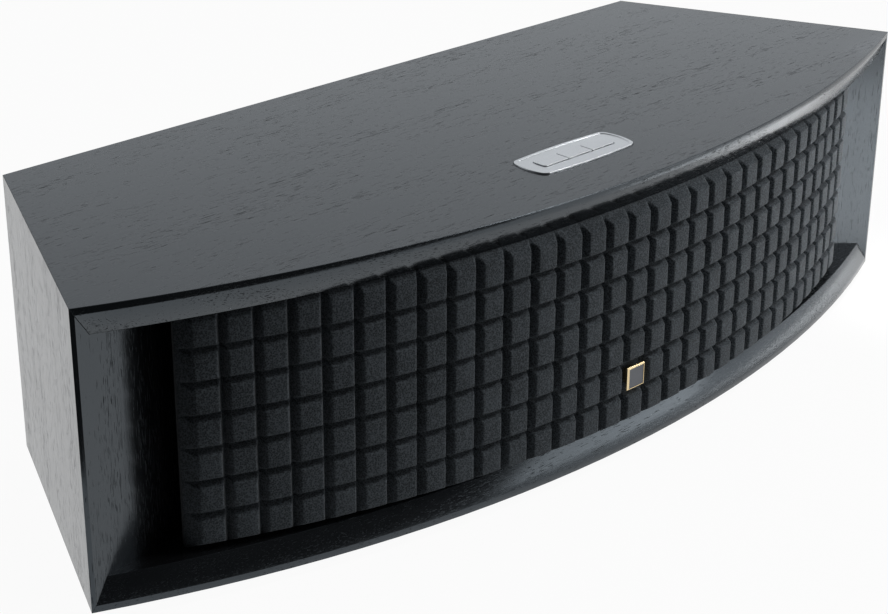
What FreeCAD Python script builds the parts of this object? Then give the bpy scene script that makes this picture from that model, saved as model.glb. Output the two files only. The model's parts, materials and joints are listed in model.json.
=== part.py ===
"""Wireless speaker: a curved one-box stereo cabinet with a block-foam grille.

Millimetres. +Z is up, -Y is the front and the origin is on the ground under the middle of the cabinet.
Driving sizes are in the sheet "Sizes"; what follows from them is worked out in the variable set "Layout".
Pieces on the left are mirror images of those on the right.
"""
import math
import os
import re

import FreeCAD
import Part
import Sketcher

doc = FreeCAD.newDocument("WirelessSpeaker")

# Driving sizes

SIZES = {
    "cabinet": {
        "cabinet_width": 620, "back_width": 478, "chord_depth": 163, "sagitta": 64, "cabinet_height": 158,
        "panel": 16, "side_panel": 9.2, "lip": 3.5, "rear_panel": 15, "rear_inset": 2, "cheek_run": 63,
        "baffle": 15, "divider": 10, "divider_x": 60, "seam": 0.2,
    },
    "grille": {
        "foam_proud": 3, "foam_radius": 605, "foam_columns": 31, "foam_rows": 7, "foam_inset": 54.1,
        "foam_clear": 0.25, "foam_edge": 2.5, "groove_depth": 6, "foam_slab": 5, "foam_end": 7, "foam_rim": 4,
        "rim_depth": 8, "frame_thick": 4, "frame_gap": 8, "frame_rib": 9,
        "peg_radius": 3, "peg_length": 13, "peg_inset": 29.6, "peg_drop": 11, "cup_radius": 5,
        "badge_size": 12.2, "badge_thick": 2.4, "badge_rim": 0.35, "badge_stem": 8,
    },
    "drivers": {
        "driver_gap": 3, "woofer_radius": 49, "woofer_flange": 4, "woofer_rim": 12, "woofer_seat": 5,
        "woofer_depth": 29, "basket_wall": 2.5, "basket_ribs": 6, "surround_width": 10, "cone_neck": 13,
        "coil_radius": 13, "magnet_radius": 33, "magnet_length": 18, "tweeter_margin": 4,
        "tweeter_radius": 24, "tweeter_flange": 3, "tweeter_seat": 3.5, "dome_radius": 12,
        "tweeter_magnet": 15, "tweeter_depth": 20, "port_x": 150, "port_bore": 20, "port_wall": 2.5,
        "port_length": 92, "port_flare": 10, "port_rim": 36,
    },
    "controls": {
        "plate_length": 74, "plate_width": 27.6, "plate_thick": 3, "plate_proud": 0.8, "plate_setback": 47.6,
        "plate_side_bow": 1.6, "plate_end_bow": 2.4, "plate_corner": 4.5, "plate_rim": 1.5,
        "plate_field": 0.3,
        "key_length": 17.9, "key_width": 9.4, "key_gap": 0.5, "key_rise": 0.5, "key_corner": 2.6,
        "key_travel": 0.5, "key_board_drop": 6,
    },
    "rear": {
        "plate_back_width": 120, "plate_back_height": 100, "plate_back_thick": 2.5, "inlet_x": -36,
        "inlet_drop": 28, "network_x": 32, "aux_x": 2, "usb_x": -26, "socket_rise": 8, "socket_depth": 16,
        "board_thick": 1.6,
    },
    "feet": {"foot_height": 6, "foot_radius": 13, "foot_front_x": 205, "foot_back_x": 185, "foot_inset": 45},
    "screws": {"screw_radius": 1.75, "screw_head": 3.4, "screw_head_high": 2},
}

sheet = doc.addObject("Spreadsheet::Sheet", "Sizes")
row = 0
for heading, sizes in SIZES.items():
    row += 1
    sheet.set(f"A{row}", heading)
    for alias, size in sizes.items():
        row += 1
        sheet.set(f"A{row}", alias)
        sheet.set(f"B{row}", str(size))
        sheet.setAlias(f"B{row}", alias)
doc.recompute()
SIZE_NAMES = {alias for sizes in SIZES.values() for alias in sizes}

# Sizes that follow from the driving ones

LAYOUT = {
    "half_front": "cabinet_width / 2",
    "half_back": "back_width / 2",
    "chord_y": "-(chord_depth - sagitta - foam_proud) / 2",
    "apex_y": "chord_y - sagitta",
    "foam_apex": "apex_y - foam_proud",
    "back_y": "chord_y + chord_depth",
    "front_radius": "(half_front ^ 2 + sagitta ^ 2) / (2 * sagitta)",
    "front_centre": "apex_y + front_radius",
    "side_slope": "(half_front - half_back) / chord_depth",
    "side_run": "side_panel * sqrt(1 + side_slope ^ 2)",
    "under_z": "foot_height",
    "top_z": "foot_height + cabinet_height",
    "inner_low": "under_z + panel",
    "inner_high": "top_z - panel",
    "mid_z": "(under_z + top_z) / 2",
    "inner_x": "half_front - side_run",
    "lip_x": "half_front - side_run * lip / panel",
    "lip_y": "front_centre - sqrt(front_radius ^ 2 - lip_x ^ 2)",
    "foam_centre": "foam_apex + foam_radius",
    "foam_low": "inner_low + foam_clear",
    "foam_high": "inner_high - foam_clear",
    "row_pitch": "(foam_high - foam_low - 2 * (foam_rim - foam_edge)) / foam_rows",
    "cell_low": "foam_low + foam_rim - foam_edge",
    "groove_radius": "foam_radius - groove_depth",
    "rim_radius": "foam_radius - rim_depth",
    "slab_radius": "groove_radius - foam_slab",
    "frame_radius": "slab_radius - frame_thick",
    "baffle_radius": "frame_radius - frame_gap",
    "baffle_back": "baffle_radius - baffle",
    "foam_reach": "asin((half_front - foam_inset) / rim_radius)",
    "face_reach": "foam_reach - foam_end / foam_radius * 180 / pi",
    "column_pitch": "2 * (face_reach * pi / 180 * foam_radius + foam_edge) / foam_columns",
    "foam_step": "column_pitch / foam_radius * 180 / pi",
    "peg_lean": "foam_reach - peg_inset / frame_radius * 180 / pi",
    "peg_rise": "(inner_high - inner_low) / 2 - peg_drop",
    "cheek_x": "half_front - cheek_run",
    "cheek_y": "foam_centre - sqrt(baffle_radius ^ 2 - cheek_x ^ 2)",
    "cheek_back": "foam_centre - sqrt(baffle_back ^ 2 - cheek_x ^ 2)",
    "wall_slope": "(cheek_y - lip_y) / (lip_x - cheek_x)",
    "wall_run": "lip_y + wall_slope * lip_x - chord_y",
    "wall_x": "(inner_x - side_slope * wall_run) / (1 - side_slope * wall_slope)",
    "wall_y": "lip_y + wall_slope * (lip_x - wall_x)",
    "bevel_depth": "front_radius - sqrt(wall_x ^ 2 + (front_centre - wall_y) ^ 2)",
    "divider_y": "foam_centre - sqrt(baffle_back ^ 2 - divider_x ^ 2)",
    "divider_far": "divider_x + divider",
    "divider_far_y": "foam_centre - sqrt(baffle_back ^ 2 - divider_far ^ 2)",
    "badge_z": "cell_low + 1.5 * row_pitch",
    "tweeter_angle": "asin((cheek_x - tweeter_radius - tweeter_margin) / baffle_radius)",
    "tweeter_inner": "tweeter_angle * pi / 180 * baffle_radius - tweeter_radius - driver_gap",
    "woofer_angle": "(tweeter_inner - woofer_radius) / baffle_radius * 180 / pi",
    "woofer_throat": "woofer_radius - woofer_rim",
    "cone_radius": "woofer_throat - surround_width",
    "cone_root": "coil_radius + 0.5",
    "cap_radius": "coil_radius + 3",
    "cap_share": "(cap_radius - cone_root) / (cone_radius - cone_root)",
    "cap_seat": "cone_neck - cap_share * (cone_neck + woofer_flange)",
    "woofer_bolt_circle": "woofer_radius - 4.5",
    "surround_edge": "woofer_bolt_circle - screw_head - 0.5",
    "tweeter_bolt_circle": "tweeter_radius - 3.7",
    "bay": "divider_x - 12",
    "rear_face": "back_y - rear_inset",
    "rear_inner": "rear_face - rear_panel",
    "plate_y": "apex_y + plate_setback",
    "plate_top": "top_z + plate_proud",
    "plate_under": "plate_top - plate_thick",
    "key_step": "key_length + key_gap",
    "key_board_half": "plate_length / 2 - 4.4",
    "plate_boss_x": "plate_length / 2 - 6.4",
    "key_bed": "plate_under - key_board_drop",
    "socket_z": "mid_z + socket_rise",
    "inlet_z": "mid_z - inlet_drop",
    "plate_back_inner": "rear_face - plate_back_thick",
    "board_y": "plate_back_inner - socket_depth",
    "foot_front_y": "chord_y + foot_inset / 3",
    "foot_back_y": "back_y - foot_inset",
}

layout = doc.addObject("App::VarSet", "Layout")
WORD = re.compile(r"[a-z][a-z_]*")


def resolve(formula, inside_layout=False):
    """Write a formula of plain names as an expression on the sheet and the variable set."""
    def owner(match):
        word = match.group(0)
        if word in SIZE_NAMES:
            return "Sizes." + word
        if word in LAYOUT and not inside_layout:
            return "Layout." + word
        return word
    return WORD.sub(owner, str(formula))


for name, formula in LAYOUT.items():
    layout.addProperty("App::PropertyFloat", name, "Layout")
    layout.setExpression(name, resolve(formula, True))
trial = doc.addObject("App::VarSet", "Trial")
trial.addProperty("App::PropertyFloat", "last", "Trial", "the last formula that was asked for as a number")
doc.recompute()


def number(formula):
    """The present value of a formula, which a new sketch starts from."""
    trial.setExpression("last", resolve(formula))
    trial.recompute()
    return trial.last


def bind(item, formulas):
    for path, formula in formulas.items():
        item.setExpression(path, resolve(formula))
    return item


# Sketches and features

def origin_feature(body, role):
    return next(item for item in body.Origin.OriginFeatures if item.Role == role)


def arc_between(start, end, radius, turn):
    """The short arc from start to end, counterclockwise for turn "ccw" and clockwise for "cw"."""
    if turn == "cw":
        start, end = end, start
    way = end - start
    rise = math.sqrt(max(radius ** 2 - way.Length ** 2 / 4, 0))
    left = FreeCAD.Vector(-way.y, way.x, 0).normalize()
    centre = (start + end) / 2 + left * rise
    first = math.atan2(start.y - centre.y, start.x - centre.x)
    last = math.atan2(end.y - centre.y, end.x - centre.x)
    if last < first:
        last += 2 * math.pi
    circle = Part.Circle(centre, FreeCAD.Vector(0, 0, 1), radius)
    return Part.ArcOfCircle(circle, first, last)


def draw(sketch, points):
    """Close a chain of points (x, y), or (x, y, turn, radius) where an arc leads to the next point."""
    spots = [FreeCAD.Vector(number(point[0]), number(point[1]), 0) for point in points]
    ends = []
    for index, point in enumerate(points):
        start, end = spots[index], spots[(index + 1) % len(points)]
        if len(point) == 2:
            ends.append((sketch.addGeometry(Part.LineSegment(start, end)), 1, 2))
            continue
        turn, radius = point[2:]
        edge = sketch.addGeometry(arc_between(start, end, number(radius), turn))
        ends.append((edge, 1, 2) if turn == "ccw" else (edge, 2, 1))
        rule = sketch.addConstraint(Sketcher.Constraint("Radius", edge, number(radius)))
        bind(sketch, {f"Constraints[{rule}]": radius})
    for index, (edge, first, _) in enumerate(ends):
        before, _, last = ends[index - 1]
        sketch.addConstraint(Sketcher.Constraint("Coincident", before, last, edge, first))
        for kind, formula in zip(("DistanceX", "DistanceY"), points[index]):
            rule = sketch.addConstraint(Sketcher.Constraint(kind, edge, first, number(formula)))
            bind(sketch, {f"Constraints[{rule}]": formula})
    return sketch


def body_sketch(body, label, plane, points, lift="0", aside="0"):
    """A sketch on one of the body's own planes, lifted off it and moved along its first axis."""
    sketch = body.newObject("Sketcher::SketchObject", label)
    sketch.AttachmentSupport = [(origin_feature(body, plane + "_Plane"), "")]
    sketch.MapMode = "FlatFace"
    bind(sketch, {"AttachmentOffset.Base.z": lift, "AttachmentOffset.Base.x": aside})
    return draw(sketch, points)


def new_body(label):
    return doc.addObject("PartDesign::Body", label)


def feature(body, kind, label, sketch, formulas, **options):
    item = body.newObject("PartDesign::" + kind, label)
    item.Profile = sketch
    for name, setting in options.items():
        setattr(item, name, setting)
    bind(item, formulas)
    doc.recompute()
    return item


def prism(label, points, low, high):
    """A board: an outline in plan, padded between two heights."""
    body = new_body(label)
    sketch = body_sketch(body, label + "_outline", "XY", points, lift=low)
    feature(body, "Pad", label + "_pad", sketch, {"Length": f"({high}) - ({low})"})
    return body


def turned(label, points):
    """A piece of revolution about its own Y axis: each point is (radius, y)."""
    body = new_body(label)
    sketch = body_sketch(body, label + "_section", "XY", points)
    feature(body, "Revolution", label + "_turn", sketch, {"Angle": "360"}, ReferenceAxis=(sketch, ["V_Axis"]))
    return body


def round_uprights(body, radius):
    """Fillet the upright edges of the body's last feature."""
    base = body.Tip
    uprights = []
    for index, edge in enumerate(base.Shape.Edges, 1):
        first, last = edge.Vertexes[0].Point, edge.Vertexes[-1].Point
        if (first - last).Length > 0.1 and math.hypot(first.x - last.x, first.y - last.y) < 0.001:
            uprights.append(f"Edge{index}")
    fillet = body.newObject("PartDesign::Fillet", body.Name + "_corners")
    fillet.Base = (base, uprights)
    bind(fillet, {"Radius": radius})
    doc.recompute()
    return body


# Part primitives and booleans

def box(label, x, y, z):
    """A block between a low and a high formula on each axis."""
    block = doc.addObject("Part::Box", label)
    for length, axis, (low, high) in zip(("Length", "Width", "Height"), "xyz", (x, y, z)):
        bind(block, {length: f"({high}) - ({low})", f"Placement.Base.{axis}": low})
    return block


TURNS = {
    "x": FreeCAD.Rotation(FreeCAD.Vector(0, 1, 0), 90),
    "y": FreeCAD.Rotation(FreeCAD.Vector(1, 0, 0), -90),
    "z": FreeCAD.Rotation(),
}


def rod(label, axis, radius, start, length):
    """A cylinder along an axis from the point start."""
    item = doc.addObject("Part::Cylinder", label)
    item.Placement = FreeCAD.Placement(FreeCAD.Vector(), TURNS[axis])
    bind(item, {"Radius": radius, "Height": length})
    bind(item, {f"Placement.Base.{name}": formula for name, formula in zip("xyz", start)})
    return item


def fuse(label, parts):
    item = doc.addObject("Part::MultiFuse", label)
    item.Shapes = parts
    return item


def cut(label, base, tools):
    item = doc.addObject("Part::Cut", label)
    item.Base = base
    item.Tool = tools[0] if len(tools) == 1 else fuse(label + "_tools", tools)
    return item


def common(label, first, second):
    item = doc.addObject("Part::Common", label)
    item.Base, item.Tool = first, second
    return item


def group(label, parts):
    """Separate solids that share one node."""
    item = doc.addObject("Part::Compound", label)
    item.Links = parts
    return item


def mirror(label, source):
    item = doc.addObject("Part::Mirroring", label)
    item.Source = source
    item.Normal = FreeCAD.Vector(1, 0, 0)
    return item


def aim(item, angle, radius, rise="0"):
    """Turn a piece about the grille's axis, so that its own -Y looks out through the arc at that radius."""
    turn = FreeCAD.Rotation(FreeCAD.Vector(0, 0, 1), number(angle))
    item.Placement = FreeCAD.Placement(FreeCAD.Vector(), turn)
    return bind(item, {
        "Placement.Rotation.Angle": angle,
        "Placement.Base.x": f"({radius}) * sin({angle})",
        "Placement.Base.y": f"foam_centre - ({radius}) * cos({angle})",
        "Placement.Base.z": f"mid_z + ({rise})",
    })


pieces = []


def keep(*items):
    pieces.extend(items)


def pair(item, name):
    """Keep a right-hand piece and its mirror image on the left."""
    item.Label = "right_" + name
    keep(item, mirror("left_" + name, item))


# Cabinet: top and bottom

PLAN = [
    ("half_front", "chord_y"),
    ("half_back", "back_y"),
    ("-half_back", "back_y"),
    ("-half_front", "chord_y", "ccw", "front_radius"),
]


def side_extrusion(label, points, ahead):
    """An upright section at the front corner, drawn out along the slanting side of the cabinet."""
    sketch = doc.addObject("Sketcher::SketchObject", label + "_section")
    sketch.Placement = FreeCAD.Placement(FreeCAD.Vector(), FreeCAD.Rotation(FreeCAD.Vector(1, 0, 0), 90))
    bind(sketch, {"Placement.Base.y": "chord_y"})
    draw(sketch, points)
    item = doc.addObject("Part::Extrusion", label)
    item.Base = sketch
    item.DirMode = "Custom"
    item.Solid = True
    run = "sqrt((half_front - half_back) ^ 2 + chord_depth ^ 2)"
    bind(item, {"Dir.x": "-(half_front - half_back)", "Dir.y": "chord_depth", "Dir.z": "0"})
    bind(item, {"LengthFwd": run, "LengthRev": ahead})
    return item


def mitred_panel(label, low, high, inner, outer, flare):
    """A veneered panel with a bevel along its arc front, mitred along both sides; flare is +1 for the top."""
    body = prism(label + "_board", PLAN, low, high)
    bevel = [
        ("-front_radius - 1", inner),
        ("-front_radius + bevel_depth", inner),
        ("-front_radius", f"{inner} + {flare} * (panel - lip)"),
        ("-front_radius - 1", f"{inner} + {flare} * (panel - lip)"),
    ]
    sketch = body_sketch(body, label + "_bevel", "YZ", bevel, aside="front_centre")
    feature(body, "Groove", label + "_groove", sketch, {"Angle": "360"}, ReferenceAxis=(sketch, ["V_Axis"]))
    mitre = side_extrusion(label + "_mitre", [
        ("half_front", outer),
        ("inner_x", inner),
        ("half_front + 5", inner),
        ("half_front + 5", outer),
    ], "80")
    return body, [mitre, mirror(label + "_mitre_left", mitre)]


def barrel(label, inset, low, high):
    """The control plate's outline, a rectangle with bowed sides, drawn in by an inset and given a height."""
    along, across = f"(plate_length / 2 - {inset})", f"(plate_width / 2 - {inset})"
    end, side = f"({along} - plate_end_bow)", f"({across} - plate_side_bow)"
    side_radius = f"(({end}) ^ 2 + plate_side_bow ^ 2) / (2 * plate_side_bow)"
    end_radius = f"(({side}) ^ 2 + plate_end_bow ^ 2) / (2 * plate_end_bow)"
    body = prism(label, [
        (f"-{end}", f"plate_y - {side}", "ccw", side_radius),
        (end, f"plate_y - {side}", "ccw", end_radius),
        (end, f"plate_y + {side}", "ccw", side_radius),
        (f"-{end}", f"plate_y + {side}", "ccw", end_radius),
    ], low, high)
    return round_uprights(body, f"plate_corner - {inset}")


def top_panel():
    body, mitres = mitred_panel("top", "inner_high", "top_z", "inner_high", "top_z", "1")
    seat = barrel("plate_seat", "-seam", "plate_under", "top_z + 5")
    window = box("plate_window", ("-key_board_half - 0.4", "key_board_half + 0.4"),
                 ("plate_y - 9", "plate_y + 9"), ("inner_high - 5", "top_z"))
    keep(cut("top_panel", body, mitres + [seat, window]))


def bottom_panel():
    body, mitres = mitred_panel("bottom", "under_z", "inner_low", "inner_low", "under_z", "-1")
    pilots = [
        rod(f"foot_pilot_{index}", "z", "screw_radius + 0.05", (x, y, "under_z - 1"), "11")
        for index, (x, y) in enumerate(FOOT_SPOTS)
    ]
    keep(cut("bottom_panel", body, mitres + pilots))


FOOT_SPOTS = [
    ("foot_front_x", "foot_front_y"), ("-foot_front_x", "foot_front_y"),
    ("foot_back_x", "foot_back_y"), ("-foot_back_x", "foot_back_y"),
]


# Cabinet: sides, cheeks, rear, baffle and dividers

def side_panels():
    bar = side_extrusion("side_bar", [
        ("half_front", "under_z"),
        ("half_front", "top_z"),
        ("inner_x", "inner_high"),
        ("inner_x", "inner_low"),
    ], "20")
    trim = rod("side_front", "z", "front_radius", ("0", "front_centre", "under_z"), "cabinet_height")
    bevel = prism("side_bevel", [
        ("lip_x", "lip_y"),
        ("wall_x - 5", "wall_y + 5 * wall_slope"),
        ("wall_x - 5", "lip_y - 15"),
        ("lip_x", "lip_y - 15"),
    ], "under_z", "top_z")
    pair(cut("side_panel", common("side_arc", bar, trim), [bevel]), "side_panel")


def side_inner(y):
    return f"inner_x - side_slope * ({y} - chord_y)"


def cheeks():
    """The slanting walls at both ends of the grille, each in one plane with the bevel of its side panel."""
    back = "(cheek_back + 4)"
    pair(prism("cheek", [
        ("wall_x", "wall_y"),
        (side_inner(back), back),
        ("cheek_x", back),
        ("cheek_x", "cheek_y"),
    ], "inner_low", "inner_high"), "cheek")


def rear_panel():
    board = prism("rear_board", [
        (side_inner("rear_face"), "rear_face"),
        ("-(" + side_inner("rear_face") + ")", "rear_face"),
        ("-(" + side_inner("rear_inner") + ")", "rear_inner"),
        (side_inner("rear_inner"), "rear_inner"),
    ], "inner_low", "inner_high")
    half_wide, half_high = "plate_back_width / 2", "plate_back_height / 2"
    recess = box("plate_back_recess",
                 (f"-{half_wide} - seam", f"{half_wide} + seam"), ("plate_back_inner", "back_y"),
                 (f"mid_z - {half_high} - seam", f"mid_z + {half_high} + seam"))
    window = box("plate_back_window",
                 (f"-{half_wide} + 6", f"{half_wide} - 6"), ("rear_inner - 5", "back_y"),
                 (f"mid_z - {half_high} + 6", f"mid_z + {half_high} - 6"))
    tools = [recess, window]
    for side in ("", "-"):
        at, hand = f"{side}port_x", "left" if side else "right"
        tools += [
            rod(hand + "_port_hole", "y", "port_rim - 3 + seam", (at, "rear_inner - 5", "mid_z"), "40"),
            rod(hand + "_port_step", "y", "port_rim + seam", (at, "rear_face - 2.5", "mid_z"), "40"),
        ]
    for index, (x, z) in enumerate(PLATE_SCREWS):
        start = (x, "plate_back_inner - 11", z)
        tools.append(rod(f"plate_pilot_{index}", "y", "screw_radius + 0.05", start, "20"))
    keep(cut("rear_panel", board, tools))


PLATE_SCREWS = [
    (f"{side}(plate_back_width / 2 - 3)", f"mid_z {rise} (plate_back_height / 2 - 3)")
    for side in ("", "-") for rise in ("+", "-")
]


def arc_board(label, outer, inner, low, high):
    """A board bent round the grille's axis, cut off straight at the cheeks."""
    tall = f"({high}) - ({low})"
    around = rod(label + "_outer", "z", outer, ("0", "foam_centre", low), tall)
    within = rod(label + "_inner", "z", inner, ("0", "foam_centre", f"({low}) - 5"), f"{tall} + 10")
    slab = box(label + "_span", ("-cheek_x", "cheek_x"), ("apex_y", "cheek_back + 20"), (low, high))
    return common(label, cut(label + "_ring", around, [within]), slab)


def driver_cutters():
    """The stepped holes that seat a woofer and a tweeter, with screw pilots, aimed through the baffle."""
    woofer = turned("woofer_hole", [
        ("0", "-20"), ("woofer_radius + 0.3", "-20"), ("woofer_radius + 0.3", "0"),
        ("woofer_throat + 5", "0"), ("woofer_throat + 5", "30"), ("0", "30"),
    ])
    tweeter = turned("tweeter_hole", [
        ("0", "-20"), ("tweeter_radius + 0.3", "-20"), ("tweeter_radius + 0.3", "0"),
        ("tweeter_magnet + 1.5", "0"), ("tweeter_magnet + 1.5", "30"), ("0", "30"),
    ])
    woofer_pilots = bolt_rods("woofer_pilot", WOOFER_BOLTS, "-1", "9.5", "0.05")
    tweeter_pilots = bolt_rods("tweeter_pilot", TWEETER_BOLTS, "-1", "11", "0.05")
    woofer_set = fuse("woofer_cutter", [woofer] + woofer_pilots)
    tweeter_set = fuse("tweeter_cutter", [tweeter] + tweeter_pilots)
    aim(woofer_set, "woofer_angle", "baffle_radius - woofer_seat")
    aim(tweeter_set, "tweeter_angle", "baffle_radius - tweeter_seat")
    return [woofer_set, tweeter_set]


def bolt_circle(radius, count, turn):
    """Places on a circle round a driver's own axis, as (x, z) formulas."""
    angles = [f"({turn} + {index} * 360 / {count})" for index in range(count)]
    return [(f"{radius} * cos{angle}", f"{radius} * sin{angle}") for angle in angles]


WOOFER_BOLTS = bolt_circle("woofer_bolt_circle", 4, 45)
TWEETER_BOLTS = bolt_circle("tweeter_bolt_circle", 3, 90)


def bolt_rods(label, spots, start, length, loose):
    return [
        rod(f"{label}_{index}", "y", f"screw_radius * 0.8 + {loose}", (x, start, z), length)
        for index, (x, z) in enumerate(spots)
    ]


PEGS = [(lean, rise) for lean in ("-peg_lean", "0", "peg_lean") for rise in ("-peg_rise", "peg_rise")]


def peg_rod(label, lean, rise, radius, start, length):
    """A round peg or hole along the arc's radius, from a radius of the arc inward."""
    return aim(turned(label, [("0", "0"), (radius, "0"), (radius, length), ("0", length)]), lean, start, rise)


def front_baffle():
    board = arc_board("baffle_board", "baffle_radius", "baffle_back", "inner_low", "inner_high")
    right = driver_cutters()
    tools = right + [mirror(f"left_cutter_{index}", item) for index, item in enumerate(right)]
    for index, (lean, rise) in enumerate(PEGS):
        tools.append(peg_rod(f"cup_hole_{index}", lean, rise, "cup_radius", "baffle_radius + 2", "11"))
    keep(cut("front_baffle", board, tools))


def dividers():
    pair(prism("divider_board", [
        ("divider_x", "divider_y"),
        ("divider_far", "divider_far_y"),
        ("divider_far", "rear_inner"),
        ("divider_x", "rear_inner"),
    ], "inner_low", "inner_high"), "divider")


# Grille: block foam, frame, cups and badge

def at_arc(radius, angle):
    """A point on an arc round the grille's axis, counted from the middle of the front."""
    return f"({radius}) * sin({angle})", f"-({radius}) * cos({angle})"


def grille_foam():
    """Rows of teeth turned round the arc's axis, then crossed by upright V grooves in a polar pattern."""
    rows, columns = int(sheet.foam_rows), int(sheet.foam_columns)
    section = [("-slab_radius", "foam_low"), ("-rim_radius", "foam_low")]
    for index in range(rows):
        if index:
            section.append(("-groove_radius", f"cell_low + {index} * row_pitch"))
        section.append(("-foam_radius", f"cell_low + {index} * row_pitch + foam_edge"))
        section.append(("-foam_radius", f"cell_low + {index + 1} * row_pitch - foam_edge"))
    section += [("-rim_radius", "foam_high"), ("-slab_radius", "foam_high")]
    body = new_body("grille_foam")
    bind(body, {"Placement.Base.y": "foam_centre"})
    teeth = body_sketch(body, "foam_teeth", "YZ", section)
    feature(body, "Revolution", "foam_rows_turned", teeth, {"Angle": "2 * foam_reach"},
            ReferenceAxis=(teeth, ["V_Axis"]), Midplane=True)

    low, high, clear = "foam_low - 1", "foam_high - foam_low + 2", "foam_radius + 2"
    ends = body_sketch(body, "foam_ends", "XY", end_slope(clear, "-"), lift=low)
    draw(ends, end_slope(clear, ""))
    feature(body, "Pocket", "foam_ends_cut", ends, {"Length": high}, Reversed=True)

    first = "((1 - foam_columns / 2) * foam_step)"
    spread = "(foam_edge / groove_depth * (groove_depth + 2) / foam_radius * 180 / pi)"
    notch = body_sketch(body, "foam_notch", "XY", [
        at_arc("groove_radius", first),
        at_arc(clear, f"{first} - {spread}"),
        at_arc(clear, f"{first} + {spread}"),
    ], lift=low)
    groove = feature(body, "Pocket", "foam_groove", notch, {"Length": high}, Reversed=True)
    pattern = body.newObject("PartDesign::PolarPattern", "foam_columns_cut")
    pattern.Originals = [groove]
    pattern.Axis = (origin_feature(body, "Z_Axis"), [""])
    pattern.Occurrences = columns - 1
    bind(pattern, {"Angle": "(foam_columns - 2) * foam_step"})
    body.Tip = pattern
    doc.recompute()

    half = "column_pitch / 2"
    seat = body_sketch(body, "badge_seat", "XY", [
        (f"-{half}", "-groove_radius"), (f"-{half}", "-foam_radius - 5"),
        (half, "-foam_radius - 5"), (half, "-groove_radius"),
    ], lift="badge_z - row_pitch / 2")
    feature(body, "Pocket", "badge_seat_cut", seat, {"Length": "row_pitch"}, Reversed=True)
    keep(body)


def end_slope(clear, side):
    """The wedge that leaves a slope at one end of the foam; side is "-" for the left."""
    return [
        at_arc("foam_radius", f"{side}face_reach"),
        at_arc("rim_radius", f"{side}foam_reach"),
        at_arc(clear, f"{side}(foam_reach + 0.2)"),
        at_arc(clear, f"{side}face_reach"),
    ]


def grille_frame():
    """A moulded frame behind the foam, open in front of the drivers, with pegs for the cups in the baffle."""
    body = new_body("frame_panel")
    bind(body, {"Placement.Base.y": "foam_centre"})
    strip = body_sketch(body, "frame_strip", "YZ", [
        ("-slab_radius", "foam_low + 1"), ("-slab_radius", "foam_high - 1"),
        ("-frame_radius", "foam_high - 1"), ("-frame_radius", "foam_low + 1"),
    ])
    feature(body, "Revolution", "frame_turned", strip, {"Angle": "2 * foam_reach - 0.2"},
            ReferenceAxis=(strip, ["V_Axis"]), Midplane=True)
    span = "((cheek_x - 2) / 3)"
    windows = [
        box(f"frame_window_{index}",
            (f"({index} - 3) * {span} + frame_rib / 2", f"({index} - 2) * {span} - frame_rib / 2"),
            ("apex_y", "chord_y + 60"), ("foam_low + frame_rib * 1.6", "foam_high - frame_rib * 1.6"))
        for index in range(6)
    ]
    pegs = [
        peg_rod(f"peg_{index}", lean, rise, "peg_radius", "frame_radius + 1", "peg_length")
        for index, (lean, rise) in enumerate(PEGS)
    ]
    keep(fuse("grille_frame", [cut("frame_open", body, windows)] + pegs))


def grille_cups():
    """Rubber cups pressed into the baffle, which hold the frame's pegs."""
    cups = []
    for index, (lean, rise) in enumerate(PEGS):
        outer = peg_rod(f"cup_outer_{index}", lean, rise, "cup_radius - 0.05", "baffle_radius - 0.5", "8")
        bore = peg_rod(f"cup_bore_{index}", lean, rise, "peg_radius + 0.1", "baffle_radius + 4", "11")
        cups.append(cut(f"cup_{index}", outer, [bore]))
    keep(group("grille_cups", cups))


def badge():
    """A square metal tile with a stem, in the place of one foam block, and the blank face let into it."""
    half, inner = "badge_size / 2", "(badge_size / 2 - badge_rim)"
    face = "foam_apex"
    tile = box("badge_tile", (f"-{half}", half), (face, f"{face} + badge_thick"),
               (f"badge_z - {half}", f"badge_z + {half}"))
    stem = box("badge_stem_block", ("-badge_stem / 2", "badge_stem / 2"),
               (f"{face} + badge_thick - 0.5", "foam_centre - groove_radius"),
               ("badge_z - badge_stem / 2", "badge_z + badge_stem / 2"))
    recess = box("badge_recess", (f"-{inner}", inner), (f"{face} - 1", f"{face} + 0.8"),
                 (f"badge_z - {inner}", f"badge_z + {inner}"))
    keep(cut("badge_rim_tile", fuse("badge_solid", [tile, stem]), [recess]))
    keep(box("badge_face", (f"-{inner}", inner), (f"{face} + 0.2", f"{face} + 0.8"),
             (f"badge_z - {inner}", f"badge_z + {inner}")))


# Drivers

def driver_piece(item, name, driver):
    aim(item, f"{driver}_angle", f"baffle_radius - {driver}_seat")
    pair(item, name)


def dome(label, radius, rim, rise, thick):
    """A thin cap of a sphere, bulging to the front from its rim."""
    ball = f"(({radius}) ^ 2 + ({rise}) ^ 2) / (2 * {rise})"
    return turned(label, [
        ("0", f"{rim} - {rise}", "ccw", ball), (radius, rim),
        (radius, f"{rim} + {thick}", "cw", ball), ("0", f"{rim} - {rise} + {thick}"),
    ])


def both_sides(label, item, driver):
    """One node for the fasteners of the right-hand driver and their mirror images."""
    aim(item, f"{driver}_angle", f"baffle_radius - {driver}_seat")
    keep(group(label, [item, mirror(label + "_left", item)]))


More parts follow.
